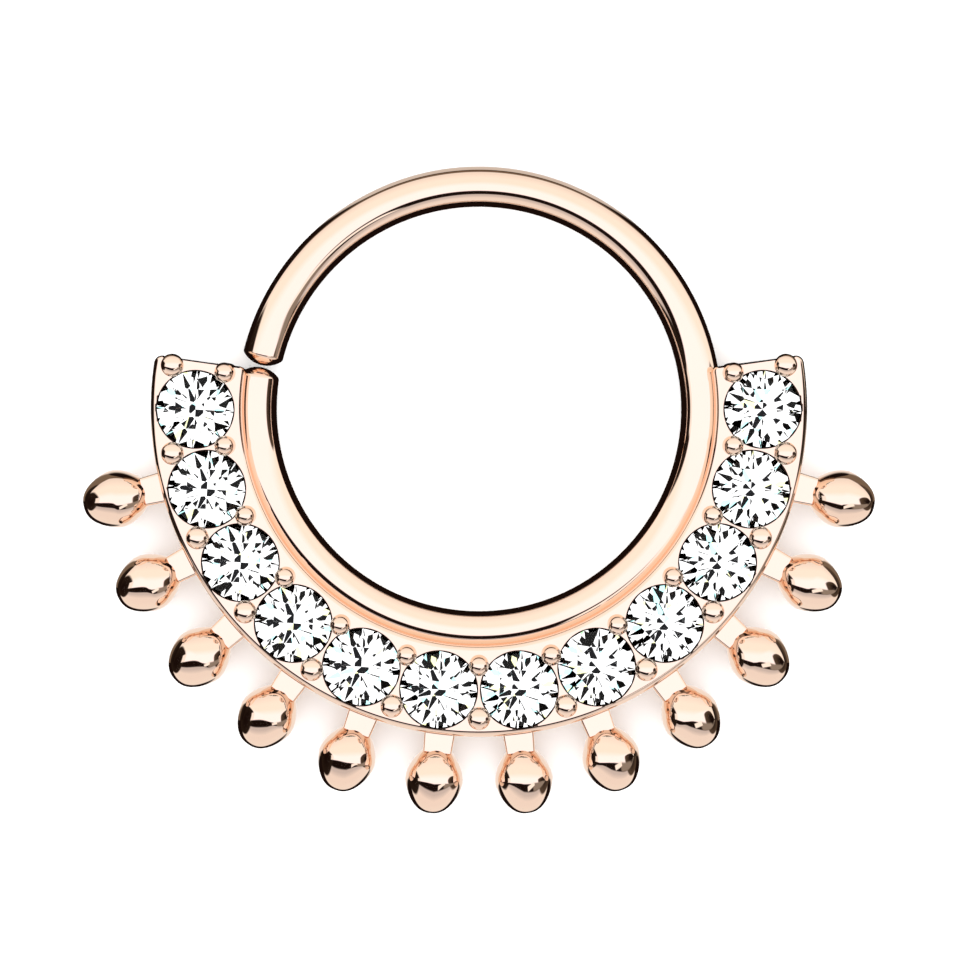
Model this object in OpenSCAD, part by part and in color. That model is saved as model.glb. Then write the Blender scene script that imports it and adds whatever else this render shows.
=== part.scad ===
// Septum ring. A hoop of round wire, cut once on its left, carries a crescent plate soldered round
// its lower half. The plate holds a row of round brilliants between pairs of domed prongs, and a
// fringe of solid drops stands out from its rim on short tapered posts.
// Millimetres. The ring lies on its back: +X is right, +Y points to the hoop's free top and +Z out
// of the stones' tables. The origin is the hoop's centre, halfway through the wire's thickness.

/* [Hoop] */
// Diameter of the hoop's round wire
wire_d = 1; // [0.8:0.05:1.2]
// Inner diameter of the hoop
hoop_inner_d = 10; // [9:0.5:12]
// Height of the dome on each end of the wire
wire_dome_h = 0.23; // [0.12:0.01:0.35]
// Rounding between each dome and the side of the wire
wire_shoulder_r = 0.12; // [0.04:0.01:0.2]
// Gap between the tips of the wire's two ends
cut_gap = 0.05; // [0.03:0.01:1]
// How far the lower end of the wire stands past the crescent's end face
wire_stub = 0.06; // [0:0.01:0.5]

/* [Crescent] */
// Thickness of the crescent plate from front to back
plate_t = 1.3; // [0.9:0.05:1.5]
// How far the plate's inner edge lies inside the outer side of the wire
plate_lap = 0.16; // [0.1:0.01:0.25]
// Metal outside the stones, out to the plate's rim
rim_w = 0.15; // [0.1:0.01:0.4]
// Plate past the centre line of the last pair of prongs
plate_end = 0.21; // [0.15:0.01:0.5]
// Rounding of the rim's front edge
rim_edge_r = 0.18; // [0.04:0.01:0.2]
// Rounding of the plate's inner front edge
inner_edge_r = 0.14; // [0.04:0.01:0.15]
// Rounding of the plate's edges at the back
back_edge_r = 0.08; // [0.04:0.01:0.15]
// Rounding of the two outer corners, seen from the front
corner_r = 0.2; // [0.05:0.01:0.3]

/* [Stones] */
// Number of stones
stone_count = 12; // [7:1:14]
// Girdle diameter of each stone
stone_d = 1.9; // [1.5:0.05:2.1]
// Gap between the girdles of neighbouring stones
stone_gap = 0.09; // [0.08:0.01:0.24]
// Distance from the wire's outer side to the nearest edge of each stone
stone_inset = 0.05; // [0.02:0.01:0.4]
// Height of the girdle's straight band
girdle_t = 0.04; // [0.02:0.01:0.08]
// Depth of the girdle's upper edge below the plate's face
girdle_depth = 0.05; // [0.02:0.01:0.1]
// Slope of the crown's main facets above the girdle's plane
crown_angle = 34; // [28:1:38]
// Slope of the pavilion's main facets below the girdle's plane
pavilion_angle = 41; // [36:1:43]
// Width of the table
table_d = 1.06; // [0.8:0.02:1.2]
// Turn of each stone's facets about its own axis
stone_turn = 19; // [0:1:45]
// Clearance between each stone and its seat
seat_clear = 0.025; // [0.01:0.005:0.03]
// Diameter of the open hole behind each stone
seat_hole_d = 0.9; // [0.5:0.05:1.1]

/* [Prongs] */
// Diameter of the prongs on the hoop's side of the stones
inner_prong_d = 0.5; // [0.4:0.01:0.6]
// Diameter of the prongs on the rim's side of the stones
outer_prong_d = 0.57; // [0.4:0.01:0.6]
// How far each inner prong reaches over the girdles beside it
inner_prong_lap = 0.035; // [0.01:0.005:0.05]
// How far each outer prong reaches over the girdles beside it
outer_prong_lap = 0.01; // [0.005:0.005:0.05]
// Height of the prongs above the plate's face
prong_h = 0.32; // [0.22:0.01:0.5]
// Height of the dome that ends each prong
prong_dome_h = 0.23; // [0.08:0.01:0.25]
// Depth of the prongs' shafts below the plate's face
prong_root = 0.6; // [0.2:0.05:0.8]
// Gap between the plate's face and the underside of the prongs' lips
prong_lip_gap = 0.005; // [0.005:0.005:0.02]

/* [Drops] */
// Largest diameter of each drop
drop_d = 1.43; // [1.2:0.01:1.5]
// Length of each drop from its neck to its tip
drop_len = 1.58; // [1.3:0.01:2.2]
// Length of the shoulder, from the neck to the widest place
shoulder_len = 0.77; // [0.5:0.01:1]
// Diameter of each drop's neck
neck_d = 0.67; // [0.5:0.01:0.7]
// Gap between neighbouring drops at their widest place
drop_gap = 0.8; // [0.3:0.05:2]
// Least distance along the rim from the last pair of prongs to the axis of the last drop
drop_start = 3; // [1:0.1:6]
// Length of each post from the rim to the drop's neck
post_len = 0.39; // [0.2:0.01:1]
// Width of each post where it leaves the rim
post_root_w = 0.77; // [0.7:0.01:0.9]
// Width of each post where it meets the drop
post_tip_w = 0.71; // [0.7:0.01:0.8]
// Thickness of each post from front to back
post_t = 0.7; // [0.5:0.01:0.72]

/* [Hidden] */
$fn = 96;
arc_steps = 4;
dome_steps = 5;
quarter_turn = 90;
straight_down = 270;
degrees = 180 / PI;

// Shape of the drop: how quickly the shoulder swells, and how bluntly the lower half closes
shoulder_power = 1.6;
tip_power = 1.5;
shoulder_steps = 6;
tip_steps = 8;

// Facets of the brilliant: mains, and how far the stars and the lower halves reach
mains = 8;
main_turn = 360 / mains;
star_reach = 0.5;
lower_half_reach = 0.77;

metal_colour = [0.93, 0.70, 0.58];
stone_colour = [0.93, 0.96, 0.98];

// Overlap that lets one solid bite into the next, room for cutters to pass a surface, and the
// turn that the plate has to spare before its ends are cut
bite = 0.06;
clear_of = 1;
spare_turn = 1;
// How far inside the wire's side the dome on each of its ends starts
cap_step = 0.004;

wire_r = wire_d / 2;
hoop_r = hoop_inner_d / 2 + wire_r;
wire_outer_r = hoop_r + wire_r;
cap_r = wire_r - cap_step;
wire_dome_r = (cap_r * cap_r + wire_dome_h * wire_dome_h) / (2 * wire_dome_h);

stone_r = stone_d / 2;
pitch_r = wire_outer_r + stone_inset + stone_r;
pitch_angle = 2 * asin((stone_d + stone_gap) / (2 * pitch_r));

plate_inner_r = wire_outer_r - plate_lap;
plate_outer_r = pitch_r + stone_r + rim_w;
face_z = plate_t / 2;
last_prong_angle = stone_count / 2 * pitch_angle;
end_sweep = asin(plate_end / plate_inner_r) + spare_turn;

girdle_top_z = face_z - girdle_depth;
girdle_low_z = girdle_top_z - girdle_t;
table_r = table_d / 2;
seat_r = stone_r + seat_clear;
seat_hole_r = seat_hole_d / 2;

drop_r = drop_d / 2;
neck_r = neck_d / 2;
neck_at = plate_outer_r + post_len;

// As many drops as the rim has room for, evenly spread about straight down
drop_pitch = 2 * asin((drop_d + drop_gap) / (2 * (neck_at + shoulder_len)));
fringe_angle = last_prong_angle - drop_start / plate_outer_r * degrees;
drop_count = floor(2 * fringe_angle / drop_pitch) + 1;

// Angles of the wire's two tips, counted anticlockwise from +X
lower_tip = straight_down - last_prong_angle - asin((plate_end + wire_stub) / hoop_r);
upper_tip = lower_tip - 2 * asin(cut_gap / (2 * hoop_r));

function stone_name(i) = str("stone_", i < 10 ? "0" : "", i);

// Angle of place k in a row of n places spread evenly about straight down
function row_angle(k, n, pitch) = straight_down + (k - (n - 1) / 2) * pitch;

// Points of an arc about centre c
function arc(c, r, from, to, steps) =
    [for (i = [0:steps]) let (a = from + (to - from) * i / steps) c + r * [cos(a), sin(a)]];

// Where a prong of radius r stands along its centre line, so that it laps both girdles beside it
function prong_at(r, lap, side) =
    let (reach = stone_r + r - lap, half_chord = pitch_r * sin(pitch_angle / 2))
    pitch_r * cos(pitch_angle / 2) + side * sqrt(reach * reach - half_chord * half_chord);

// Domed end of the wire, a turned profile that leaves the wire at z = 0 and ends at z = wire_cap_len
wire_cap_len = wire_dome_r - sqrt(pow(wire_dome_r - wire_shoulder_r, 2) - pow(cap_r - wire_shoulder_r, 2));
wire_cap_turn = acos((cap_r - wire_shoulder_r) / (wire_dome_r - wire_shoulder_r));

module wire_cap() {
    rotate_extrude()
        polygon(concat(
            [[0, -bite], [cap_r, -bite]],
            arc([cap_r - wire_shoulder_r, 0], wire_shoulder_r, 0, wire_cap_turn, arc_steps),
            [for (i = [1:dome_steps])
                let (a = wire_cap_turn + (quarter_turn - wire_cap_turn) * i / dome_steps)
                [i == dome_steps ? 0 : wire_dome_r * cos(a),
                 wire_cap_len - wire_dome_r + wire_dome_r * sin(a)]]));
}

module hoop() {
    cap_sweep = wire_cap_len / hoop_r * degrees;
    from = lower_tip + cap_sweep;
    to = upper_tip + 360 - cap_sweep;
    rotate([0, 0, from])
        rotate_extrude(angle = to - from)
            translate([hoop_r, 0])
                circle(wire_r);
    rotate([0, 0, from])
        translate([hoop_r, 0, 0])
            rotate([quarter_turn, 0, 0])
                wire_cap();
    rotate([0, 0, to])
        translate([hoop_r, 0, 0])
            rotate([-quarter_turn, 0, 0])
                wire_cap();
}

// Section of the plate in its radial plane, with every edge rounded
module plate_section() {
    polygon(concat(
        arc([plate_outer_r - rim_edge_r, face_z - rim_edge_r], rim_edge_r, 0, 90, arc_steps),
        arc([plate_inner_r + inner_edge_r, face_z - inner_edge_r], inner_edge_r, 90, 180, arc_steps),
        arc([plate_inner_r + back_edge_r, back_edge_r - face_z], back_edge_r, 180, 270, arc_steps),
        arc([plate_outer_r - back_edge_r, back_edge_r - face_z], back_edge_r, 270, 360, arc_steps)));
}

// What is cut away past one end of the plate. Local +X runs out along the last prongs' centre
// line and +Y past the end.
module plate_end_cutter() {
    translate([0, 0, -plate_t])
        linear_extrude(2 * plate_t)
            polygon(concat(
                [[plate_inner_r - clear_of, plate_end - inner_edge_r]],
                arc([plate_inner_r + inner_edge_r, plate_end - inner_edge_r], inner_edge_r, 180, 90, arc_steps),
                arc([plate_outer_r - corner_r, plate_end - corner_r], corner_r, 90, 0, arc_steps),
                [[plate_outer_r + clear_of, plate_end - corner_r],
                 [plate_outer_r + clear_of, plate_end + clear_of],
                 [plate_inner_r - clear_of, plate_end + clear_of]]));
}

module plate() {
    sweep = last_prong_angle + end_sweep;
    difference() {
        rotate([0, 0, straight_down - sweep])
            rotate_extrude(angle = 2 * sweep)
                plate_section();
        rotate([0, 0, straight_down + last_prong_angle])
            plate_end_cutter();
        rotate([0, 0, straight_down - last_prong_angle])
            mirror([0, 1, 0])
                plate_end_cutter();
    }
}

// A prong with an elliptical dome, standing on the plate's face at z = 0
module prong(r) {
    shaft_h = prong_h - prong_dome_h;
    rotate_extrude()
        polygon(concat(
            [[0, -prong_root], [r, -prong_root]],
            [for (i = [0:dome_steps])
                let (a = quarter_turn * i / dome_steps)
                [i == dome_steps ? 0 : r * cos(a), shaft_h + prong_dome_h * sin(a)]]));
}

module prongs() {
    inner_r = inner_prong_d / 2;
    outer_r = outer_prong_d / 2;
    for (k = [0:stone_count])
        rotate([0, 0, row_angle(k, stone_count + 1, pitch_angle)]) {
            translate([prong_at(inner_r, inner_prong_lap, -1), 0, face_z])
                prong(inner_r);
            translate([prong_at(outer_r, outer_prong_lap, 1), 0, face_z])
                prong(outer_r);
        }
}

// Room for one stone: a bore at the girdle, a cone along the pavilion and an open hole behind
module seat() {
    cone_top_z = girdle_low_z + seat_clear * tan(pavilion_angle) - seat_clear / cos(pavilion_angle);
    hole_top_z = cone_top_z - (seat_r - seat_hole_r) * tan(pavilion_angle);
    rotate_extrude()
        polygon([
            [0, -face_z - clear_of],
            [seat_hole_r, -face_z - clear_of],
            [seat_hole_r, hole_top_z],
            [seat_r, cone_top_z],
            [seat_r, face_z + prong_lip_gap],
            [0, face_z + prong_lip_gap]]);
}

module at_stone(i)
    rotate([0, 0, row_angle(i - 1, stone_count, pitch_angle)])
        translate([pitch_r, 0, 0])
            rotate([0, 0, -row_angle(i - 1, stone_count, pitch_angle)])
                children();

// A drop, turned about its own axis with its neck at z = 0
module drop() {
    lower_len = drop_len - shoulder_len;
    rotate_extrude()
        polygon(concat(
            [[0, 0]],
            [for (i = [0:shoulder_steps])
                let (u = i / shoulder_steps)
                [neck_r + (drop_r - neck_r) * (1 - pow(1 - u, shoulder_power)), shoulder_len * u]],
            [for (i = [1:tip_steps])
                let (u = sin(quarter_turn * i / tip_steps))
                [drop_r * sqrt(1 - pow(u, tip_power)), shoulder_len + lower_len * u]]));
}

module post() {
    // The root lies behind the rim's curve across the post's whole width, and the tip bites the drop
    root_at = sqrt(plate_outer_r * plate_outer_r - post_root_w * post_root_w / 4) - bite;
    tip_at = neck_at + bite;
    translate([0, 0, -post_t / 2])
        linear_extrude(post_t)
            polygon([
                [root_at, -post_root_w / 2],
                [tip_at, -post_tip_w / 2],
                [tip_at, post_tip_w / 2],
                [root_at, post_root_w / 2]]);
}

module drops() {
    for (k = [0:drop_count - 1])
        rotate([0, 0, row_angle(k, drop_count, drop_pitch)]) {
            post();
            translate([neck_at, 0, 0])
                rotate([0, quarter_turn, 0])
                    drop();
        }
}

module metal_ring() {
    color(metal_colour)
        difference() {
            union() {
                hoop();
                plate();
                prongs();
                drops();
            }
            for (i = [1:stone_count])
                at_stone(i)
                    seat();
        }
}

// A round brilliant: table, stars, kites, upper halves, girdle, lower halves and mains.
// Corners lie on the planes of the main facets, so every kite is flat.
module brilliant() {
    between = main_turn / 2;
    crown_slope = tan(crown_angle);
    pavilion_slope = tan(pavilion_angle);
    table_z = girdle_top_z + (stone_r - table_r) * crown_slope;
    star_r = table_r + (stone_r - table_r) * star_reach;
    star_z = girdle_top_z + (stone_r - star_r * cos(between)) * crown_slope;
    lower_r = stone_r * (1 - lower_half_reach);
    lower_z = girdle_low_z - (stone_r - lower_r * cos(between)) * pavilion_slope;
    culet_z = girdle_low_z - stone_r * pavilion_slope;

    function ring_point(r, a, z) = [r * cos(a), r * sin(a), z];
    points = concat(
        [for (k = [0:mains - 1]) ring_point(table_r, k * main_turn, table_z)],
        [for (k = [0:mains - 1]) ring_point(star_r, k * main_turn + between, star_z)],
        [for (j = [0:2 * mains - 1]) ring_point(stone_r, j * between, girdle_top_z)],
        [for (j = [0:2 * mains - 1]) ring_point(stone_r, j * between, girdle_low_z)],
        [for (k = [0:mains - 1]) ring_point(lower_r, k * main_turn + between, lower_z)],
        [[0, 0, culet_z]]);

    function table_at(k) = k % mains;
    function star_at(k) = mains + (k + mains) % mains;
    function girdle_top_at(j) = 2 * mains + j % (2 * mains);
    function girdle_low_at(j) = 4 * mains + j % (2 * mains);
    function lower_at(k) = 6 * mains + (k + mains) % mains;
    culet = 7 * mains;

    rotate([0, 0, stone_turn])
        polyhedron(points, concat(
            [[for (k = [mains - 1:-1:0]) table_at(k)]],
            [for (k = [0:mains - 1]) each [
                [table_at(k), table_at(k + 1), star_at(k)],
                [table_at(k), star_at(k), girdle_top_at(2 * k), star_at(k - 1)],
                [star_at(k), girdle_top_at(2 * k + 1), girdle_top_at(2 * k)],
                [star_at(k), girdle_top_at(2 * k + 2), girdle_top_at(2 * k + 1)],
                [lower_at(k), girdle_low_at(2 * k), girdle_low_at(2 * k + 1)],
                [lower_at(k), girdle_low_at(2 * k + 1), girdle_low_at(2 * k + 2)],
                [culet, lower_at(k - 1), girdle_low_at(2 * k), lower_at(k)]]],
            [for (j = [0:2 * mains - 1])
                [girdle_top_at(j), girdle_top_at(j + 1), girdle_low_at(j + 1), girdle_low_at(j)]]));
}

module stone(i) {
    color(stone_colour)
        at_stone(i)
            brilliant();
}

metal_ring();
for (i = [1:stone_count])
    stone(i);
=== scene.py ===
"""Septum ring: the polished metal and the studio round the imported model.

A hoop of round wire, cut once on its left, carries a crescent plate set with round brilliants
between domed prongs, and a fringe of drops on short posts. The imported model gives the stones,
which stay as they are. Its metal is one solid, and is shown here as finely made pieces of the
same sizes: hoop, crescent, prongs, posts and drops.

Sizes are in millimetres and are turned into metres when a piece is finished. The ring lies on
its back: +X is right, +Y points to the hoop's free top, +Z out of the stones' tables.
Colours are linear red, green and blue, each with an alpha of 1.
"""

from __future__ import annotations

import logging
import math
from collections.abc import Iterable
from dataclasses import dataclass, field
from enum import Enum

import bmesh
import bpy
from mathutils import Matrix, Vector

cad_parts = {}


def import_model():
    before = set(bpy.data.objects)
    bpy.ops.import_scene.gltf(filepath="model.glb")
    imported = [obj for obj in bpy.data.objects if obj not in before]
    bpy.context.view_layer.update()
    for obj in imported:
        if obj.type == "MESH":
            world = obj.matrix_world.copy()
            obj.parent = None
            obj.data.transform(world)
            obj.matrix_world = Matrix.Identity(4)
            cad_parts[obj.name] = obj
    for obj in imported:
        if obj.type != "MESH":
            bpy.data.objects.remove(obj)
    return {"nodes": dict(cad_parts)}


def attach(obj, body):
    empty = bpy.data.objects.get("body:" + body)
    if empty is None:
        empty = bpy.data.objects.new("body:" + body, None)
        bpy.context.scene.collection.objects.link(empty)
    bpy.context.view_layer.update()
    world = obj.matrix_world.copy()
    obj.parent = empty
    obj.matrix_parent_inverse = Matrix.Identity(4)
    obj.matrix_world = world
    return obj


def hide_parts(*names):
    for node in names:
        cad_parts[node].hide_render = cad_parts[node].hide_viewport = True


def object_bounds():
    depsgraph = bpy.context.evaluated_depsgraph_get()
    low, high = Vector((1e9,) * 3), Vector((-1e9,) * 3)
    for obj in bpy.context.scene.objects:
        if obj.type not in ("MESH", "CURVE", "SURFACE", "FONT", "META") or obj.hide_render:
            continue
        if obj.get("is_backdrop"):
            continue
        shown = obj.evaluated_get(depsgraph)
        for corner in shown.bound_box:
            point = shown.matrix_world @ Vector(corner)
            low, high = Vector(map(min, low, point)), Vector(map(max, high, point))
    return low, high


LOG = logging.getLogger("septum_ring")

MM = 0.001
FULL_TURN = math.tau
QUARTER_TURN = math.pi / 2
STRAIGHT_DOWN = math.radians(270)
BODY = "root"
METAL_NODE = "metal_ring"
WELD = 1e-5
CRISP_FROM = math.radians(32)


class Slot(Enum):
    """Names for the metal's and the stones' materials; nothing here uses them."""

    METAL = "rose_gold"
    STONE = "stone"


class Side(Enum):
    """The two rows of prongs, seen from the stones between them."""

    HOOP = -1
    RIM = 1


@dataclass(frozen=True)
class RingSizes:
    """Driving sizes of the ring in millimetres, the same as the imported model's."""

    wire_d: float = 1.0
    hoop_inner_d: float = 10.0
    plate_t: float = 1.3
    plate_lap: float = 0.16
    rim_w: float = 0.15
    stone_count: int = 12
    stone_d: float = 1.9
    stone_gap: float = 0.09
    stone_inset: float = 0.05
    post_len: float = 0.39
    bite: float = 0.06

    @property
    def wire_r(self) -> float:
        """Radius of the wire."""
        return self.wire_d / 2

    @property
    def hoop_r(self) -> float:
        """Radius of the wire's centre line."""
        return self.hoop_inner_d / 2 + self.wire_r

    @property
    def stone_r(self) -> float:
        """Girdle radius of a stone."""
        return self.stone_d / 2

    @property
    def pitch_r(self) -> float:
        """Radius of the circle through the stones' centres."""
        return self.hoop_r + self.wire_r + self.stone_inset + self.stone_r

    @property
    def pitch_angle(self) -> float:
        """Turn from one stone to the next."""
        return 2 * math.asin((self.stone_d + self.stone_gap) / (2 * self.pitch_r))

    @property
    def last_prong_angle(self) -> float:
        """Turn from straight down to the last pair of prongs."""
        return self.stone_count / 2 * self.pitch_angle

    @property
    def plate_inner_r(self) -> float:
        """Radius of the crescent's inner edge, inside the wire's outer side."""
        return self.hoop_r + self.wire_r - self.plate_lap

    @property
    def plate_outer_r(self) -> float:
        """Radius of the crescent's rim."""
        return self.pitch_r + self.stone_r + self.rim_w

    @property
    def face_z(self) -> float:
        """Height of the crescent's front face."""
        return self.plate_t / 2

    @property
    def neck_at(self) -> float:
        """Radius at which the posts end and the drops begin."""
        return self.plate_outer_r + self.post_len


def row_angles(count: int, pitch: float) -> list[float]:
    """Angles of a row of places spread evenly about straight down.

    Args:
        count: Number of places.
        pitch: Turn from one place to the next, in radians.

    Returns:
        The angles, anticlockwise from +X, in radians.
    """
    return [STRAIGHT_DOWN + (k - (count - 1) / 2) * pitch for k in range(count)]


def turned(bm: bmesh.types.BMesh, profile: Iterable[tuple[float, float]], steps: int) -> list:
    """Turn a profile about Z, as on a lathe.

    Args:
        bm: Mesh that takes the new surface.
        profile: Radius and height of each point of the profile.
        steps: Number of steps in the full turn.

    Returns:
        The new vertices.
    """
    before = set(bm.verts)
    chain = [bm.verts.new((radius, 0, height)) for radius, height in profile]
    edges = [bm.edges.new(pair) for pair in zip(chain, chain[1:])]
    bmesh.ops.spin(
        bm,
        geom=chain + edges,
        cent=(0, 0, 0),
        axis=(0, 0, 1),
        angle=FULL_TURN,
        steps=steps,
        use_merge=True,
    )
    made = [vert for vert in bm.verts if vert not in before]
    bmesh.ops.remove_doubles(bm, verts=made, dist=WELD)
    return [vert for vert in bm.verts if vert not in before]


def place(bm: bmesh.types.BMesh, verts: list, *moves: Matrix) -> None:
    """Apply moves to some vertices, the first move first."""
    for move in moves:
        bmesh.ops.transform(bm, matrix=move, verts=verts)


def shift(x: float, y: float = 0.0, z: float = 0.0) -> Matrix:
    """A move along the axes, in millimetres."""
    return Matrix.Translation((x, y, z))


def turn(angle: float, axis: str = "Z") -> Matrix:
    """A turn about an axis through the hoop's centre, in radians."""
    return Matrix.Rotation(angle, 4, axis)


def new_object(name: str, bm: bmesh.types.BMesh) -> bpy.types.Object:
    """Make an object of a bmesh, still in millimetres, with its faces pointing outwards."""
    bmesh.ops.remove_doubles(bm, verts=bm.verts, dist=WELD)
    bmesh.ops.recalc_face_normals(bm, faces=bm.faces)
    mesh = bpy.data.meshes.new(name)
    bm.to_mesh(mesh)
    bm.free()
    made = bpy.data.objects.new(name, mesh)
    bpy.context.scene.collection.objects.link(made)
    return made


def settle_modifiers(piece: bpy.types.Object) -> None:
    """Turn the piece's modifiers into plain mesh."""
    depsgraph = bpy.context.evaluated_depsgraph_get()
    settled = bpy.data.meshes.new_from_object(piece.evaluated_get(depsgraph))
    before = piece.data
    piece.modifiers.clear()
    piece.data = settled
    bpy.data.meshes.remove(before)


def finish_piece(piece: bpy.types.Object) -> bpy.types.Object:
    """Bring a metal piece to metres, smooth it and hand it to the frame.

    Args:
        piece: The piece, in millimetres.

    Returns:
        The same piece.
    """
    mesh = piece.data
    mesh.transform(Matrix.Scale(MM, 4))
    for polygon in mesh.polygons:
        polygon.use_smooth = True
    mesh.set_sharp_from_angle(angle=CRISP_FROM)
    weighted = piece.modifiers.new("even_shading", "WEIGHTED_NORMAL")
    weighted.keep_sharp = True
    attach(piece, BODY)
    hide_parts(METAL_NODE)
    LOG.info("%s: %d faces", piece.name, len(mesh.polygons))
    return piece


def give_material(pieces: Iterable[bpy.types.Object], material: bpy.types.Material) -> None:
    """Give pieces one material, in the slots that they have or in a new one."""
    for piece in pieces:
        for slot in piece.material_slots:
            slot.material = material
        if not piece.material_slots:
            piece.data.materials.append(material)


@dataclass
class Hoop:
    """Round wire in a full circle, cut once on the left, with a dome on both of its ends."""

    sizes: RingSizes
    dome_h: float = 0.23
    shoulder_r: float = 0.12
    cut_gap: float = 0.05
    plate_end: float = 0.21
    wire_stub: float = 0.06
    around: int = 96
    along: int = 480
    shoulder_steps: int = 8
    dome_steps: int = 10
    pieces: list[bpy.types.Object] = field(default_factory=list)

    def cap_profile(self) -> list[tuple[float, float]]:
        """Profile of the wire's end, from the wire's side to the dome's tip."""
        wire_r = self.sizes.wire_r
        dome_r = (wire_r**2 + self.dome_h**2) / (2 * self.dome_h)
        inner = wire_r - self.shoulder_r
        length = dome_r - math.sqrt((dome_r - self.shoulder_r) ** 2 - inner**2)
        meet = math.acos(inner / (dome_r - self.shoulder_r))
        shoulder = [
            (inner + self.shoulder_r * math.cos(a), self.shoulder_r * math.sin(a))
            for a in (meet * i / self.shoulder_steps for i in range(self.shoulder_steps + 1))
        ]
        dome = [
            (dome_r * math.cos(a), length - dome_r + dome_r * math.sin(a))
            for a in (
                meet + (QUARTER_TURN - meet) * i / self.dome_steps
                for i in range(1, self.dome_steps)
            )
        ]
        return shoulder + dome + [(0.0, length)]

    def build(self) -> None:
        """Spin the wire and close its two ends."""
        sizes = self.sizes
        profile = self.cap_profile()
        cap_turn = profile[-1][1] / sizes.hoop_r
        lower_tip = (
            STRAIGHT_DOWN
            - sizes.last_prong_angle
            - math.asin((self.plate_end + self.wire_stub) / sizes.hoop_r)
        )
        upper_tip = lower_tip - 2 * math.asin(self.cut_gap / (2 * sizes.hoop_r))
        start = lower_tip + cap_turn
        stop = upper_tip + FULL_TURN - cap_turn

        bm = bmesh.new()
        bmesh.ops.create_circle(bm, segments=self.around, radius=sizes.wire_r)
        place(bm, bm.verts[:], turn(QUARTER_TURN, "X"), shift(sizes.hoop_r), turn(start))
        bmesh.ops.spin(
            bm,
            geom=bm.verts[:] + bm.edges[:],
            cent=(0, 0, 0),
            axis=(0, 0, 1),
            angle=stop - start,
            steps=self.along,
        )
        for angle, outwards in ((start, QUARTER_TURN), (stop, -QUARTER_TURN)):
            cap = turned(bm, profile, self.around)
            place(bm, cap, turn(outwards, "X"), shift(sizes.hoop_r), turn(angle))
        self.pieces = [finish_piece(new_object("hoop", bm))]

    def dress(self, material: bpy.types.Material) -> None:
        """Polish the wire."""
        give_material(self.pieces, material)


@dataclass
class Seats:
    """Room for the stones: a bore at the girdle, a cone along the pavilion, a hole behind."""

    sizes: RingSizes
    clearance: float = 0.025
    hole_d: float = 0.9
    girdle_depth: float = 0.05
    girdle_t: float = 0.04
    pavilion_angle: float = math.radians(41)
    lip_gap: float = 0.005
    clear_of: float = 1.0
    around: int = 96

    def cutter(self) -> bpy.types.Object:
        """One object that holds the room of all the stones, in millimetres."""
        sizes = self.sizes
        slope = math.tan(self.pavilion_angle)
        girdle_low = sizes.face_z - self.girdle_depth - self.girdle_t
        seat_r = sizes.stone_r + self.clearance
        cone_top = girdle_low + self.clearance * slope - self.clearance / math.cos(self.pavilion_angle)
        hole_top = cone_top - (seat_r - self.hole_d / 2) * slope
        top = sizes.face_z + self.lip_gap
        bottom = -sizes.face_z - self.clear_of
        profile = [
            (0.0, bottom),
            (self.hole_d / 2, bottom),
            (self.hole_d / 2, hole_top),
            (seat_r, cone_top),
            (seat_r, top),
            (0.0, top),
        ]
        bm = bmesh.new()
        for angle in row_angles(sizes.stone_count, sizes.pitch_angle):
            room = turned(bm, profile, self.around)
            place(bm, room, shift(sizes.pitch_r), turn(angle))
        return new_object("seat_cutter", bm)

    def cut(self, piece: bpy.types.Object, cutter: bpy.types.Object) -> None:
        """Cut the room for the stones out of a piece."""
        seats = piece.modifiers.new("seats", "BOOLEAN")
        seats.operation = "DIFFERENCE"
        seats.solver = "EXACT"
        seats.object = cutter
        settle_modifiers(piece)

    def dress(self, piece: bpy.types.Object, polished: bpy.types.Material, dark: bpy.types.Material) -> None:
        """Polish a piece, and paint shade on the walls of its seats.

        Args:
            piece: A finished piece, in metres.
            polished: Material of its outside.
            dark: Material with painted shade for the seats' walls, below the plate's face.
        """
        sizes = self.sizes
        axes = [
            turn(angle) @ Vector((sizes.pitch_r, 0, 0))
            for angle in row_angles(sizes.stone_count, sizes.pitch_angle)
        ]
        reach = sizes.stone_r + self.clearance + self.lip_gap
        for material in (polished, dark):
            piece.data.materials.append(material)
        for polygon in piece.data.polygons:
            middle = polygon.center / MM
            inside = min((middle.xy - axis.xy).length for axis in axes) < reach
            between_faces = abs(middle.z) < sizes.face_z + self.lip_gap / 2
            on_a_face = abs(abs(middle.z) - sizes.face_z) < WELD
            # Seat walls below the plate's face take the painted shade.
            polygon.material_index = int(inside and between_faces and not on_a_face)


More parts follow.
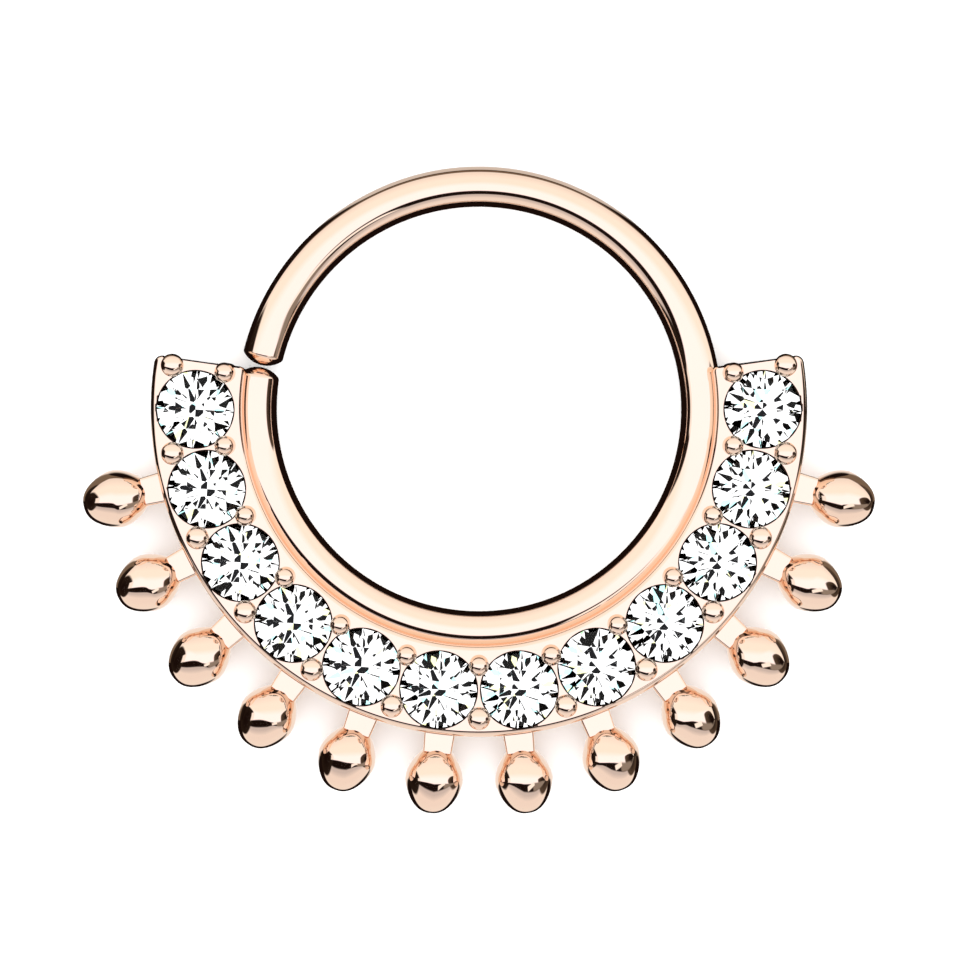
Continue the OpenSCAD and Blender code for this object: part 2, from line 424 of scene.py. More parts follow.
@dataclass
class Crescent:
    """Flat plate round the hoop's lower half, with eased edges and a seat for each stone."""

    sizes: RingSizes
    end: float = 0.21
    corner_r: float = 0.2
    inner_corner_r: float = 0.15
    front_edge: float = 0.18
    back_edge: float = 0.08
    end_share: float = 0.28
    inner_share: float = 0.78
    edge_steps: int = 8
    corner_steps: int = 8
    arc_steps: int = 300
    pieces: list[bpy.types.Object] = field(default_factory=list)

    def levels(self) -> list[tuple[float, float]]:
        """How far the outline is drawn in, and its height, from the front face to the back."""
        face_z = self.sizes.face_z
        angles = [QUARTER_TURN * i / self.edge_steps for i in range(self.edge_steps + 1)]
        front = [
            (self.front_edge * (1 - math.sin(a)), face_z - self.front_edge * (1 - math.cos(a)))
            for a in angles
        ]
        back = [
            (self.back_edge * (1 - math.cos(a)), self.back_edge * (1 - math.sin(a)) - face_z)
            for a in angles
        ]
        return front + back

    def side(
        self, bm: bmesh.types.BMesh, edge_r: float, corner_r: float, end: float, height: float, turned_in: int
    ) -> list[bmesh.types.BMEdge]:
        """Draw one side of the plate's right half, from straight down round to the end's edge.

        Args:
            bm: Mesh that takes the line.
            edge_r: Radius of the side.
            corner_r: Radius of the corner that ends it.
            end: Distance of the end's edge past the last pair of prongs.
            height: Height of the line.
            turned_in: 1 where the plate lies inside the line, -1 where it lies outside.

        Returns:
            The line's edges.
        """
        before = set(bm.edges)
        last = self.sizes.last_prong_angle
        centre_r = edge_r - turned_in * corner_r
        lean = math.asin((end - corner_r) / centre_r)
        centre = turn(STRAIGHT_DOWN + last) @ Vector((centre_r * math.cos(lean), end - corner_r, height))
        reached = bm.verts.new((0, -edge_r, height))
        for about, angle, steps in (
            (Vector(), last + lean, self.arc_steps // 2),
            (centre, turned_in * QUARTER_TURN - lean, self.corner_steps),
        ):
            spun = bmesh.ops.spin(bm, geom=[reached], cent=about, axis=(0, 0, 1), angle=angle, steps=steps)
            reached = next(part for part in spun["geom_last"] if isinstance(part, bmesh.types.BMVert))
        return [edge for edge in bm.edges if edge not in before]

    def outline(self, bm: bmesh.types.BMesh, inset: float, height: float) -> tuple[list, list]:
        """Draw the right half of the plate's outline at one level.

        Args:
            bm: Mesh that takes the outline.
            inset: How far the rim is drawn in.
            height: Height of the outline.

        Returns:
            The edges of the rim's side and of the hoop's side.
        """
        sizes = self.sizes
        end = self.end - inset * self.end_share
        inner_inset = inset * self.inner_share
        rim = self.side(bm, sizes.plate_outer_r - inset, self.corner_r - inset, end, height, 1)
        inner = self.side(
            bm,
            sizes.plate_inner_r + inner_inset,
            self.inner_corner_r - inner_inset,
            end,
            height,
            -1,
        )
        return rim, inner

    def build(self, seats: Seats, cutter: bpy.types.Object) -> None:
        """Raise the plate from its outlines, close it and cut the seats."""
        bm = bmesh.new()
        outlines = [self.outline(bm, inset, height) for inset, height in self.levels()]
        for upper, lower in zip(outlines, outlines[1:]):
            for high, low in zip(upper, lower):
                bmesh.ops.bridge_loops(bm, edges=high + low)
        for rim, inner in (outlines[0], outlines[-1]):
            bmesh.ops.bridge_loops(bm, edges=rim + inner)
        ends = [edge for edge in bm.edges if edge.is_boundary and min(v.co.x for v in edge.verts) > WELD]
        bmesh.ops.edgeloop_fill(bm, edges=ends)
        bmesh.ops.mirror(bm, geom=bm.verts[:] + bm.edges[:] + bm.faces[:], axis="X", merge_dist=WELD)
        plate = new_object("crescent_plate", bm)
        seats.cut(plate, cutter)
        self.pieces = [finish_piece(plate)]

    def dress(self, seats: Seats, polished: bpy.types.Material, dark: bpy.types.Material) -> None:
        """Polish the plate, and paint shade in its seats."""
        for piece in self.pieces:
            seats.dress(piece, polished, dark)


@dataclass
class Prongs:
    """One row of domed beads that hold the stones by their girdles."""

    sizes: RingSizes
    side: Side
    prong_d: float
    lap: float
    lean: float
    height: float = 0.32
    dome_h: float = 0.23
    root: float = 0.3
    around: int = 64
    dome_steps: int = 14
    pieces: list[bpy.types.Object] = field(default_factory=list)

    @property
    def row_r(self) -> float:
        """Radius at which the row stands, so that each prong laps both girdles beside it."""
        sizes = self.sizes
        reach = sizes.stone_r + self.prong_d / 2 - self.lap
        half_turn = sizes.pitch_angle / 2
        half_chord = sizes.pitch_r * math.sin(half_turn)
        beside = math.sqrt(reach**2 - half_chord**2)
        return sizes.pitch_r * math.cos(half_turn) + self.side.value * beside

    def profile(self) -> list[tuple[float, float]]:
        """Profile of one prong, from the foot of its shaft to the top of its dome."""
        radius = self.prong_d / 2
        shaft = self.height - self.dome_h
        dome = [
            (radius * math.cos(a), shaft + self.dome_h * math.sin(a))
            for a in (QUARTER_TURN * i / self.dome_steps for i in range(self.dome_steps))
        ]
        return [(0.0, -self.root), (radius, -self.root)] + dome + [(0.0, self.height)]

    def build(self, seats: Seats, cutter: bpy.types.Object) -> None:
        """Turn the prongs and cut the room for the stones' girdles."""
        bm = bmesh.new()
        lean = turn(-self.side.value * self.lean, "Y")
        for angle in row_angles(self.sizes.stone_count + 1, self.sizes.pitch_angle):
            prong = turned(bm, self.profile(), self.around)
            place(bm, prong, lean, shift(self.row_r, 0, self.sizes.face_z), turn(angle))
        row = new_object(f"prongs_{self.side.name.lower()}_side", bm)
        seats.cut(row, cutter)
        self.pieces = [finish_piece(row)]

    def dress(self, seats: Seats, polished: bpy.types.Material, dark: bpy.types.Material) -> None:
        """Polish the prongs, and paint shade where they are cut for the stones."""
        for piece in self.pieces:
            seats.dress(piece, polished, dark)


@dataclass
class Fringe:
    """Drops round the rim, each on a short tapered post.

    A drop's shoulder swells out from its neck, and its lower half closes to a soft point.
    """

    sizes: RingSizes
    drop_d: float = 1.43
    drop_len: float = 1.58
    shoulder_len: float = 0.77
    neck_d: float = 0.67
    drop_gap: float = 0.8
    drop_start: float = 3.0
    root_w: float = 0.77
    tip_w: float = 0.71
    post_t: float = 0.7
    post_edge_r: float = 0.07
    post_edge_steps: int = 5
    shoulder_power: float = 2.0
    tip_power: float = 1.34
    tip_bluntness: float = 0.42
    shoulder_steps: int = 18
    tip_steps: int = 30
    around: int = 72
    pieces: list[bpy.types.Object] = field(default_factory=list)

    def angles(self) -> list[float]:
        """Angles of the drops: as many as the rim has room for."""
        sizes = self.sizes
        widest_at = sizes.neck_at + self.shoulder_len
        pitch = 2 * math.asin((self.drop_d + self.drop_gap) / (2 * widest_at))
        half_fringe = sizes.last_prong_angle - self.drop_start / sizes.plate_outer_r
        return row_angles(math.floor(2 * half_fringe / pitch) + 1, pitch)

    def drop_profile(self) -> list[tuple[float, float]]:
        """Profile of a drop from its neck over its shoulder to its tip."""
        neck_r = self.neck_d / 2
        drop_r = self.drop_d / 2
        lower_len = self.drop_len - self.shoulder_len
        shoulder = [
            (neck_r + (drop_r - neck_r) * (1 - (1 - u) ** self.shoulder_power), self.shoulder_len * u)
            for u in (i / self.shoulder_steps for i in range(self.shoulder_steps + 1))
        ]
        tip = [
            (drop_r * (1 - u**self.tip_power) ** self.tip_bluntness, self.shoulder_len + lower_len * u)
            for u in (
                math.sin(QUARTER_TURN * i / self.tip_steps) for i in range(1, self.tip_steps)
            )
        ]
        return [(0.0, 0.0)] + shoulder + tip + [(0.0, self.drop_len)]

    def build_post(self, name: str, angle: float) -> bpy.types.Object:
        """Make one post, a tapered bar with eased edges.

        Args:
            name: Name of the piece.
            angle: Its place round the rim, in radians.

        Returns:
            The finished piece.
        """
        sizes = self.sizes
        root_at = math.sqrt(sizes.plate_outer_r**2 - self.root_w**2 / 4) - sizes.bite
        tip_at = sizes.neck_at + sizes.bite
        bm = bmesh.new()
        bmesh.ops.create_cube(bm, size=1.0)
        place(
            bm,
            bm.verts[:],
            Matrix.Diagonal((tip_at - root_at, self.root_w, self.post_t, 1.0)),
            shift((tip_at + root_at) / 2),
        )
        tip = [vert for vert in bm.verts if vert.co.x > sizes.neck_at]
        place(bm, tip, Matrix.Diagonal((1.0, self.tip_w / self.root_w, 1.0, 1.0)))
        long_edges = [
            edge
            for edge in bm.edges
            if abs(edge.verts[0].co.x - edge.verts[1].co.x) > sizes.post_len
        ]
        bmesh.ops.bevel(
            bm,
            geom=long_edges,
            offset=self.post_edge_r,
            offset_type="OFFSET",
            affect="EDGES",
            segments=self.post_edge_steps,
            profile=0.5,
            material=-1,
        )
        place(bm, bm.verts[:], turn(angle))
        return finish_piece(new_object(name, bm))

    def build_drop(self, name: str, angle: float) -> bpy.types.Object:
        """Turn one drop, with its neck on the end of its post.

        Args:
            name: Name of the piece.
            angle: Its place round the rim, in radians.

        Returns:
            The finished piece.
        """
        bm = bmesh.new()
        drop = turned(bm, self.drop_profile(), self.around)
        place(bm, drop, turn(QUARTER_TURN, "Y"), shift(self.sizes.neck_at), turn(angle))
        return finish_piece(new_object(name, bm))

    def build(self) -> None:
        """Make every post and every drop."""
        for number, angle in enumerate(self.angles(), start=1):
            self.pieces.append(self.build_post(f"post_{number:02d}", angle))
            self.pieces.append(self.build_drop(f"drop_{number:02d}", angle))

    def dress(self, material: bpy.types.Material) -> None:
        """Polish the posts and the drops."""
        give_material(self.pieces, material)


@dataclass
class Stones:
    """The round brilliants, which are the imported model's own solids."""

    nodes: dict[str, bpy.types.Object]

    def dress(self, material: bpy.types.Material) -> None:
        """Polish every stone."""
        stones = [node for name, node in self.nodes.items() if name.startswith("stone_")]
        give_material(stones, material)
        LOG.info("stones: %d", len(stones))


Colour = tuple[float, float, float, float]

DARK: Colour = (0.010, 0.005, 0.004, 1.0)


def grey(value: float) -> Colour:
    """A neutral colour of one brightness."""
    return (value, value, value, 1.0)


def in_radians(*angles: float) -> list[float]:
    """Angles given in degrees, in radians."""
    return [math.radians(angle) for angle in angles]


class NodePen:
    """Draws a node tree with few words."""

    MIX_INPUTS = (0, 6, 7)
    MIX_OUTPUT = 2

    def __init__(self, tree: bpy.types.NodeTree) -> None:
        """Take the tree that the nodes go into."""
        self.tree = tree

    def add(self, kind: str, **settings: object) -> bpy.types.Node:
        """Add a node and set its properties."""
        node = self.tree.nodes.new(kind)
        for name, value in settings.items():
            setattr(node, name, value)
        return node

    def join(self, output: bpy.types.NodeSocket, target: bpy.types.NodeSocket) -> None:
        """Link an output to an input."""
        self.tree.links.new(output, target)

    def fill(self, socket: bpy.types.NodeSocket, value: object) -> None:
        """Link a socket to an output, or set its value."""
        if isinstance(value, bpy.types.NodeSocket):
            self.join(value, socket)
        else:
            socket.default_value = value

    def math(self, operation: str, *values: object) -> bpy.types.NodeSocket:
        """Work out one number from others."""
        node = self.add("ShaderNodeMath", operation=operation)
        for socket, value in zip(node.inputs, values):
            self.fill(socket, value)
        return node.outputs["Value"]

    def ease(self, value: bpy.types.NodeSocket, low: float, high: float) -> bpy.types.NodeSocket:
        """Rise smoothly from 0 at low to 1 at high, or fall where low is the larger."""
        node = self.add("ShaderNodeMapRange", interpolation_type="SMOOTHSTEP", clamp=True)
        falls = low > high
        self.fill(node.inputs["Value"], value)
        node.inputs["From Min"].default_value = min(low, high)
        node.inputs["From Max"].default_value = max(low, high)
        node.inputs["To Min"].default_value = 1.0 if falls else 0.0
        node.inputs["To Max"].default_value = 0.0 if falls else 1.0
        return node.outputs["Result"]

    def blend(self, factor: object, first: object, second: object) -> bpy.types.NodeSocket:
        """Mix two colours."""
        node = self.add("ShaderNodeMix", data_type="RGBA", clamp_factor=True)
        for index, value in zip(self.MIX_INPUTS, (factor, first, second)):
            self.fill(node.inputs[index], value)
        return node.outputs[self.MIX_OUTPUT]

    def choose(
        self,
        factor: bpy.types.NodeSocket,
        first: bpy.types.Node,
        second: bpy.types.Node,
        result: bpy.types.Node,
    ) -> None:
        """Mix two shaders and bring them to the tree's end.

        Args:
            factor: 0 for the first shader, 1 for the second.
            first: Node of the first shader.
            second: Node of the second shader.
            result: The tree's output node.
        """
        mixed = self.add("ShaderNodeMixShader")
        for socket, output in zip(mixed.inputs, (factor, first.outputs[0], second.outputs[0])):
            self.join(output, socket)
        self.join(mixed.outputs[0], result.inputs["Surface"])


def start_material(name: str) -> tuple[bpy.types.Material, NodePen, bpy.types.Node]:
    """Start a material with a plain shader.

    Args:
        name: Name of the material.

    Returns:
        The material, a pen on its tree and its shader.
    """
    made = bpy.data.materials.new(name)
    made.use_nodes = True
    return made, NodePen(made.node_tree), made.node_tree.nodes["Principled BSDF"]


class PolishGroup:
    """Node group with the marks that hand polishing leaves: soft waves and fine wear."""

    NAME = "hand_polish"
    OUTPUTS = {"Wave Size": "Waves", "Mark Size": "Marks"}
    PLAIN_SIZE = 1.0
    DETAIL = 2.0

    def __init__(self) -> None:
        """Draw the group once. Its sizes are in millimetres."""
        self.tree = bpy.data.node_groups.new(self.NAME, "ShaderNodeTree")
        face = self.tree.interface
        for size in self.OUTPUTS:
            socket = face.new_socket(size, in_out="INPUT", socket_type="NodeSocketFloat")
            socket.default_value = self.PLAIN_SIZE
        for mark in self.OUTPUTS.values():
            face.new_socket(mark, in_out="OUTPUT", socket_type="NodeSocketFloat")
        pen = NodePen(self.tree)
        given = pen.add("NodeGroupInput")
        result = pen.add("NodeGroupOutput")
        where = pen.add("ShaderNodeTexCoord").outputs["Object"]
        for size, mark in self.OUTPUTS.items():
            noise = pen.add("ShaderNodeTexNoise")
            noise.inputs["Detail"].default_value = self.DETAIL
            pen.join(where, noise.inputs["Vector"])
            pen.join(pen.math("DIVIDE", 1 / MM, given.outputs[size]), noise.inputs["Scale"])
            pen.join(noise.outputs["Fac"], result.inputs[mark])

    def put_in(self, pen: NodePen, wave_size: float, mark_size: float) -> bpy.types.Node:
        """Place the group in a material.

        Args:
            pen: Pen on the material's tree.
            wave_size: Width of the soft waves in millimetres.
            mark_size: Width of the fine marks in millimetres.

        Returns:
            The group's node.
        """
        node = pen.add("ShaderNodeGroup", node_tree=self.tree)
        node.inputs["Wave Size"].default_value = wave_size
        node.inputs["Mark Size"].default_value = mark_size
        return node


@dataclass(frozen=True)
class RoseGold:
    """Mirror-polished rose gold, a little deeper in colour where the polish is worn."""

    name: str = "rose_gold_polished"
    colour: Colour = (0.94, 0.73, 0.59, 1.0)
    deeper: Colour = (0.93, 0.70, 0.56, 1.0)
    roughness: tuple[float, float] = (0.02, 0.05)
    wave_size: float = 1.1
    mark_size: float = 0.12
    wave_depth: float = 0.0006

    def material(self, polish: PolishGroup) -> bpy.types.Material:
        """Mix the material."""
        made, pen, shader = start_material(self.name)
        marks = polish.put_in(pen, self.wave_size, self.mark_size)
        shader.inputs["Metallic"].default_value = 1.0
        colour = pen.blend(marks.outputs["Waves"], self.colour, self.deeper)
        pen.join(colour, shader.inputs["Base Color"])
        smoothest, roughest = self.roughness
        rough = pen.math("MULTIPLY_ADD", marks.outputs["Marks"], roughest - smoothest, smoothest)
        pen.join(rough, shader.inputs["Roughness"])
        bump = pen.add("ShaderNodeBump")
        bump.inputs["Distance"].default_value = self.wave_depth * MM
        pen.join(marks.outputs["Waves"], bump.inputs["Height"])
        pen.join(bump.outputs["Normal"], shader.inputs["Normal"])
        return made


@dataclass(frozen=True)
class SeatPaintedShade:
    """Painted shade: metal coloured almost black on the seats' walls behind the stones, standing in for the
    shade inside the seats.
    """

    name: str = "seat_painted_shade"
    # The near-black colour is painted shade, flecked a little lighter at random by the fine marks.
    colour: Colour = (0.05, 0.028, 0.02, 1.0)
    lighter: Colour = (0.10, 0.06, 0.045, 1.0)
    roughness: float = 0.5
    wave_size: float = 0.3
    mark_size: float = 0.06

    def material(self, polish: PolishGroup) -> bpy.types.Material:
        """Mix the material."""
        made, pen, shader = start_material(self.name)
        marks = polish.put_in(pen, self.wave_size, self.mark_size)
        shader.inputs["Metallic"].default_value = 1.0
        shader.inputs["Roughness"].default_value = self.roughness
        colour = pen.blend(marks.outputs["Marks"], self.colour, self.lighter)
        pen.join(colour, shader.inputs["Base Color"])
        return made


@dataclass(frozen=True)
class ClearStone:
    """Clear, bright stone with flat polished facets."""

    name: str = "clear_stone"
    ior: float = 2.2
    tint: Colour = (0.985, 0.992, 1.0, 1.0)
    gleam: float = 0.12
    wave_size: float = 0.8
    mark_size: float = 0.1

    def material(self, polish: PolishGroup) -> bpy.types.Material:
        """Mix the material."""
        made, pen, shader = start_material(self.name)
        marks = polish.put_in(pen, self.wave_size, self.mark_size)
        shader.inputs["Metallic"].default_value = 0.0
        shader.inputs["Transmission Weight"].default_value = 1.0
        shader.inputs["Roughness"].default_value = 0.0
        shader.inputs["IOR"].default_value = self.ior
        shader.inputs["Specular Tint"].default_value = grey(self.gleam)
        colour = pen.blend(marks.outputs["Waves"], grey(1.0), self.tint)
        pen.join(colour, shader.inputs["Base Color"])
        return made


def lay_sheet(name: str, size: float, height: float) -> bpy.types.Object:
    """Lay a flat square sheet that isn't part of the ring.

    Args:
        name: Name of the sheet.
        size: Length of its sides in millimetres.
        height: Its height in metres.

    Returns:
        The sheet.
    """
    bm = bmesh.new()
    bmesh.ops.create_grid(bm, x_segments=1, y_segments=1, size=size / 2 * MM)
    mesh = bpy.data.meshes.new(name)
    bm.to_mesh(mesh)
    bm.free()
    mesh.transform(Matrix.Translation((0, 0, height)))
    sheet = bpy.data.objects.new(name, mesh)
    bpy.context.scene.collection.objects.link(sheet)
    sheet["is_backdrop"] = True
    return sheet


@dataclass(frozen=True)
class View:
    """Camera straight above the ring, with the hoop's top upwards."""

    frame_width: float = 23.75
    centre: tuple[float, float] = (0.025, -1.757)
    lens: float = 300.0
    sensor: float = 36.0
    sees_from: float = 0.01
    sees_to: float = 10.0

    def set_camera(self) -> None:
        """Hang the camera, at the distance where the frame is as wide as the photograph's."""
        camera = bpy.data.cameras.new("camera")
        camera.lens = self.lens
        camera.sensor_width = self.sensor
        camera.clip_start = self.sees_from
        camera.clip_end = self.sees_to
        holder = bpy.data.objects.new("camera", camera)
        distance = self.frame_width * self.lens / self.sensor
        holder.location = Vector((*self.centre, distance)) * MM
        bpy.context.scene.collection.objects.link(holder)
        bpy.context.scene.camera = holder


@dataclass(frozen=True)
class Floor:
    """Plain pale floor under the ring."""

    size: float = 600.0
    brightness: float = 0.86
    roughness: float = 0.9

    def lay(self, height: float) -> None:
        """Lay the floor.

        Args:
            height: Its height in metres.
        """
        floor = lay_sheet("floor", self.size, height)
        floor.visible_glossy = False
        paper, _, shader = start_material("pale_paper")
        shader.inputs["Base Color"].default_value = grey(self.brightness)
        shader.inputs["Roughness"].default_value = self.roughness
        floor.data.materials.append(paper)


@dataclass(frozen=True)
class MirrorCard:
    """Round card under the ring that only the metal mirrors: dark, with light parts."""

    gap: float = 0.03
    inner_r: float = 4.9
    outer_r: float = 9.9
    soft: float = 0.3
    colour: Colour = (0.98, 0.95, 0.92, 1.0)
    fringe_y: float = -1.0
    top_half_w: tuple[float, float] = (3.6, 4.4)
    top_end_r: float = 8.7
    top_share: float = 0.7
    fade: float = 1.0

    def light_part(self, pen: NodePen) -> bpy.types.NodeSocket:
        """Mask of the card's light parts: below the fringe, and weaker at the hoop's top."""
        where = pen.add("ShaderNodeTexCoord").outputs["Object"]
        split = pen.add("ShaderNodeSeparateXYZ")
        pen.join(where, split.inputs[0])
        x, y, _ = split.outputs
        radius = self.radius(pen)
        soft = self.soft * MM
        inner = self.inner_r * MM
        narrow, wide = (half * MM for half in self.top_half_w)
        top_end = self.top_end_r * MM
        ring = pen.ease(radius, inner, inner + soft)
        fringe = pen.ease(y, (self.fringe_y + self.fade) * MM, self.fringe_y * MM)
        top = pen.math("MULTIPLY", pen.ease(pen.math("ABSOLUTE", x), wide, narrow), self.top_share)
        top = pen.math("MULTIPLY", top, pen.ease(y, 0.0, self.fade * MM))
        top = pen.math("MULTIPLY", top, pen.ease(radius, top_end, top_end - soft))
        return pen.math("MULTIPLY", ring, pen.math("MAXIMUM", fringe, top))

    def radius(self, pen: NodePen) -> bpy.types.NodeSocket:
        """Distance from the hoop's axis in metres, for a card that lies just under the ring."""
        length = pen.add("ShaderNodeVectorMath", operation="LENGTH")
        pen.join(pen.add("ShaderNodeTexCoord").outputs["Object"], length.inputs[0])
        return length.outputs["Value"]

    def lay(self, floor_height: float) -> None:
        """Lay the card just under the floor.

        Args:
            floor_height: Height of the floor in metres.
        """
        card = lay_sheet("mirror_card", 2 * self.outer_r, floor_height - self.gap * MM)
        card.visible_camera = False
        card.visible_diffuse = False
        card.visible_transmission = False
        card.visible_shadow = False
        paper = bpy.data.materials.new("mirror_card")
        paper.use_nodes = True
        paper.node_tree.nodes.clear()
        pen = NodePen(paper.node_tree)
        glow = pen.add("ShaderNodeEmission")
        pen.join(pen.blend(self.light_part(pen), DARK, self.colour), glow.inputs["Color"])
        clear = pen.add("ShaderNodeBsdfTransparent")
        outer = self.outer_r * MM
        shown = pen.ease(self.radius(pen), outer, outer - self.soft * MM)
        pen.choose(shown, clear, glow, pen.add("ShaderNodeOutputMaterial"))
        card.data.materials.append(paper)


@dataclass(frozen=True)
class StoneFire:
    """The tent as the stones break it up: small patches of white and black with coloured edges."""

    scale: float = 7.0
    parting: float = 0.006
    tint_share: float = 0.45
    dark_share: float = 0.5
    brightness: float = 1.6

    def lit(self, pen: NodePen, direction: bpy.types.NodeSocket, bend: float) -> bpy.types.NodeSocket:
        """Mask of the lit patches, 1 or 0.

        Args:
            pen: Pen on the world's tree.
            direction: Direction of the ray that leaves the stone.
            bend: How far the ray's direction is shifted.

        Returns:
            The mask.
        """
        bent = pen.add("ShaderNodeVectorMath", operation="ADD")
        bent.inputs[1].default_value = (bend,) * 3
        pen.join(direction, bent.inputs[0])
        cells = pen.add("ShaderNodeTexVoronoi", feature="F1")
        cells.inputs["Scale"].default_value = self.scale
        pen.join(bent.outputs[0], cells.inputs["Vector"])
        chance = pen.add("ShaderNodeSeparateColor")
        pen.join(cells.outputs["Color"], chance.inputs[0])
        return pen.math("GREATER_THAN", chance.outputs[0], self.dark_share)

    def colour(self, pen: NodePen, direction: bpy.types.NodeSocket) -> bpy.types.NodeSocket:
        """Colour of a ray that leaves a stone.

        Args:
            pen: Pen on the world's tree.
            direction: Direction of the ray.

        Returns:
            The colour, black outside the patches.
        """
        red, green, blue = (self.lit(pen, direction, bend) for bend in (-self.parting, 0.0, self.parting))
        parted = pen.add("ShaderNodeCombineColor")
        for lit, socket in zip((red, green, blue), parted.inputs):
            pen.join(pen.math("MULTIPLY", lit, self.brightness), socket)
        tinted = pen.blend(self.tint_share, grey(self.brightness), parted.outputs["Color"])
        return pen.blend(green, grey(0.0), tinted)


@dataclass(frozen=True)
class Band:
    """One band of the tent, up to an angle from the camera's line towards the hoop's top."""

    upto: float
    colour: Colour
    soft: float = 2.0


@dataclass(frozen=True)
class Patch:
    """A small light or a dim card in the tent, by its angles upwards and to the right."""

    up: tuple[float, float]
    right: tuple[float, float]
    colour: Colour
    lean: float = 0.0
    soft: float = 3.0


@dataclass(frozen=True)
class Tent:
    """The white tent with its dark gaps that the ring mirrors. Angles are in degrees."""

    even_light: float = 2.3
    bands: tuple[Band, ...] = (
        Band(-132, DARK, 4),
        Band(-96, (0.98, 0.95, 0.92, 1.0), 20),
        Band(-60, (0.96, 0.92, 0.90, 1.0), 16),
        Band(-45, (0.66, 0.64, 0.66, 1.0), 3),
        Band(-25, DARK, 3),
        Band(18, (1.30, 1.32, 1.45, 1.0), 20),
        Band(70, (1.14, 1.14, 1.10, 1.0), 40),
        Band(88, (1.0, 0.97, 0.94, 1.0), 9),
        Band(180, (0.20, 0.155, 0.115, 1.0), 3),
    )
    patches: tuple[Patch, ...] = (
        Patch(up=(-45, -22), right=(36, 80), colour=(0.30, 0.27, 0.24, 1.0), soft=8),
        Patch(up=(-37, -26), right=(15, 42), colour=(1.2, 1.2, 1.2, 1.0), lean=0.5),
        Patch(up=(-14, 10), right=(-67, -56), colour=(1.1, 1.1, 1.1, 1.0)),
    )
    side_edge: float = 58.0
    left_wider: float = 6.0
    right_wider: float = 26.0
    side_widens: tuple[float, float] = (0.0, 40.0)
    behind_edge: float = 46.0
    behind_from: tuple[float, float] = (82.0, 90.0)
    side_lift: float = 0.3
    side_soft: float = 2.5
    side_fade: float = 27.0
    left_colour: Colour = (0.02, 0.013, 0.009, 1.0)
    right_colour: Colour = (0.09, 0.066, 0.048, 1.0)
    slant: float = 0.23
    slant_up: tuple[float, float] = (0.0, -20.0)

    def ramp(self, pen: NodePen, up: bpy.types.NodeSocket) -> bpy.types.NodeSocket:
        """Colour the bands of the tent by their angle upwards."""
        node = pen.add("ShaderNodeValToRGB")
        pen.join(pen.math("MULTIPLY_ADD", up, 1 / FULL_TURN, 0.5), node.inputs["Fac"])
        stops = node.color_ramp.elements
        stops[0].position = 0.0
        stops[0].color = self.bands[0].colour
        stops[1].position = 1.0
        stops[1].color = self.bands[-1].colour
        for band, following in zip(self.bands, self.bands[1:]):
            for offset, colour in ((-band.soft / 2, band.colour), (band.soft / 2, following.colour)):
                stop = stops.new((band.upto + offset) / 360 + 0.5)
                stop.color = colour
        return node.outputs["Color"]

    def slanted(
        self, pen: NodePen, up: bpy.types.NodeSocket, right: bpy.types.NodeSocket
    ) -> bpy.types.NodeSocket:
        """Angle upwards, slanted so that the dark gap below the tent climbs towards the left."""
        low = pen.ease(up, *in_radians(*self.slant_up))
        leftwards = pen.math("MULTIPLY", pen.math("MINIMUM", right, 0.0), self.slant)
        return pen.math("MULTIPLY_ADD", leftwards, low, up)

    def past_side(
        self,
        pen: NodePen,
        up: bpy.types.NodeSocket,
        right: bpy.types.NodeSocket,
        rightwards: bpy.types.NodeSocket,
    ) -> bpy.types.NodeSocket:
        """How far a direction lies past the tent's sides.

        The tent is wider higher up, most of all on the right, and narrow behind the ring.

        Args:
            pen: Pen on the world's tree.
            up: Angle upwards.
            right: Angle to the right.
            rightwards: 0 on the left, 1 on the right.

        Returns:
            The angle past the side, in radians, negative inside the tent.
        """
        edge, left_wider, right_wider, behind_edge = in_radians(
            self.side_edge, self.left_wider, self.right_wider, self.behind_edge
        )
        wider = pen.ease(up, *in_radians(*self.side_widens))
        by = pen.math("MULTIPLY_ADD", rightwards, right_wider - left_wider, left_wider)
        in_front = pen.math("MULTIPLY_ADD", wider, by, edge)
        behind = pen.ease(up, *in_radians(*self.behind_from))
        narrower = pen.math("SUBTRACT", behind_edge, in_front)
        edge_here = pen.math("MULTIPLY_ADD", behind, narrower, in_front)
        return pen.math("SUBTRACT", pen.math("ABSOLUTE", right), edge_here)

    def patch_mask(
        self, pen: NodePen, patch: Patch, up: bpy.types.NodeSocket, right: bpy.types.NodeSocket
    ) -> bpy.types.NodeSocket:
        """Mask of one patch: 1 inside, 0 outside."""
        slide = pen.math("MULTIPLY_ADD", right, -patch.lean, up)
        middle = math.radians(sum(patch.right) / 2) * patch.lean
        soft = math.radians(patch.soft) / 2
        mask: object = 1.0
        for value, span, offset in ((slide, patch.up, middle), (right, patch.right, 0.0)):
            low, high = (angle - offset for angle in in_radians(*span))
            mask = pen.math("MULTIPLY", mask, pen.ease(value, low - soft, low + soft))
            mask = pen.math("MULTIPLY", mask, pen.ease(value, high + soft, high - soft))
        return mask

    def colour(self, pen: NodePen, direction: bpy.types.NodeSocket) -> bpy.types.NodeSocket:
        """Colour of the tent in one direction.

        Args:
            pen: Pen on the world's tree.
            direction: The direction that a mirrored ray takes.

        Returns:
            The colour.
        """
        split = pen.add("ShaderNodeSeparateXYZ")
        pen.join(direction, split.inputs[0])
        x, y, z = split.outputs
        lifted = pen.math("MULTIPLY_ADD", pen.math("MULTIPLY", x, x), self.side_lift, z)
        up = pen.math("ARCTAN2", y, lifted)
        right = pen.math("ARCSINE", x)
        soft, fade = in_radians(self.side_soft, self.side_fade)
        rightwards = pen.ease(right, -soft, soft)
        past = self.past_side(pen, up, right, rightwards)
        side = pen.blend(rightwards, self.left_colour, self.right_colour)
        side = pen.blend(pen.ease(past, 0.0, fade), side, DARK)
        seen = pen.blend(pen.ease(past, soft, -soft), side, self.ramp(pen, self.slanted(pen, up, right)))
        for patch in self.patches:
            seen = pen.blend(self.patch_mask(pen, patch, up, right), seen, patch.colour)
        return seen

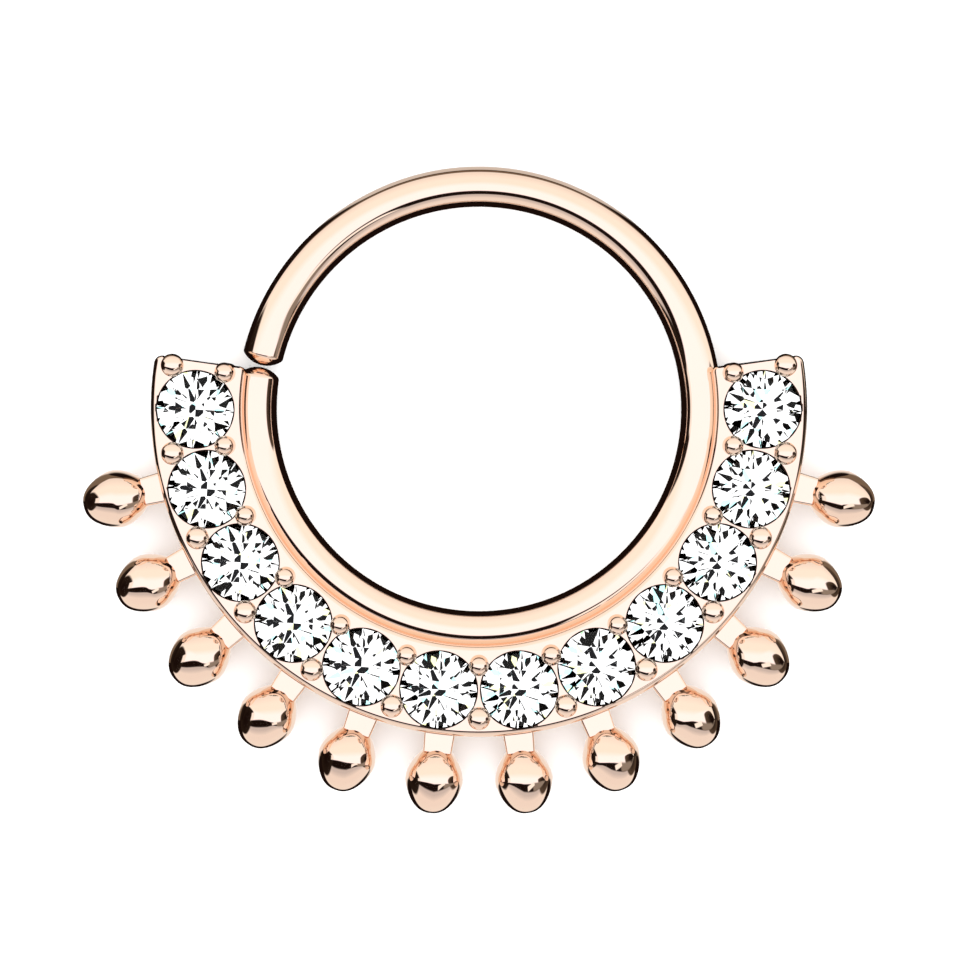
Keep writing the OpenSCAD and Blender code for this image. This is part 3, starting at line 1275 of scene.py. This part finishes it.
    def light(self, fire: StoneFire) -> None:
        """Put up the tent, which the metal and the stones see, and the even light on all else.

        Args:
            fire: The tent as the stones show it.
        """
        world = bpy.data.worlds.new("studio")
        bpy.context.scene.world = world
        world.use_nodes = True
        world.node_tree.nodes.clear()
        pen = NodePen(world.node_tree)
        direction = pen.add("ShaderNodeTexCoord").outputs["Generated"]
        rays = pen.add("ShaderNodeLightPath")
        mirrored, passed = rays.outputs["Is Glossy Ray"], rays.outputs["Is Transmission Ray"]
        tent = pen.add("ShaderNodeBackground")
        seen = pen.blend(passed, self.colour(pen, direction), fire.colour(pen, direction))
        pen.join(seen, tent.inputs["Color"])
        even = pen.add("ShaderNodeBackground")
        even.inputs["Color"].default_value = grey(1.0)
        even.inputs["Strength"].default_value = self.even_light
        sees_tent = pen.math("MAXIMUM", mirrored, passed)
        pen.choose(sees_tent, even, tent, pen.add("ShaderNodeOutputWorld"))


def as_lists(box: Iterable) -> list[list[float]]:
    """The two corners of a box as plain lists."""
    return [list(corner) for corner in box]


def main() -> None:
    """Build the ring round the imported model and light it."""
    logging.basicConfig(level=logging.INFO, format="%(name)s %(message)s")
    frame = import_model()
    cad_box = as_lists(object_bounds())
    bpy.context.scene.view_settings.view_transform = "Standard"

    sizes = RingSizes()
    polish = PolishGroup()
    gold = RoseGold().material(polish)
    # Painted shade for the seats' walls behind the stones.
    dark = SeatPaintedShade().material(polish)
    seats = Seats(sizes)
    cutter = seats.cutter()

    hoop = Hoop(sizes)
    hoop.build()
    crescent = Crescent(sizes)
    crescent.build(seats, cutter)
    prong_rows = [
        Prongs(sizes, Side.HOOP, prong_d=0.5, lap=0.035, lean=math.radians(14)),
        Prongs(sizes, Side.RIM, prong_d=0.57, lap=0.01, lean=math.radians(4)),
    ]
    for row in prong_rows:
        row.build(seats, cutter)
    fringe = Fringe(sizes)
    fringe.build()
    bpy.data.objects.remove(cutter)
    hoop.dress(gold)
    fringe.dress(gold)
    for assembly in (crescent, *prong_rows):
        assembly.dress(seats, gold, dark)
    Stones(frame["nodes"]).dress(ClearStone().material(polish))

    floor_height = cad_box[0][2]
    View().set_camera()
    Floor().lay(floor_height)
    MirrorCard().lay(floor_height)
    Tent().light(StoneFire())


if __name__ == "__main__":
    main()
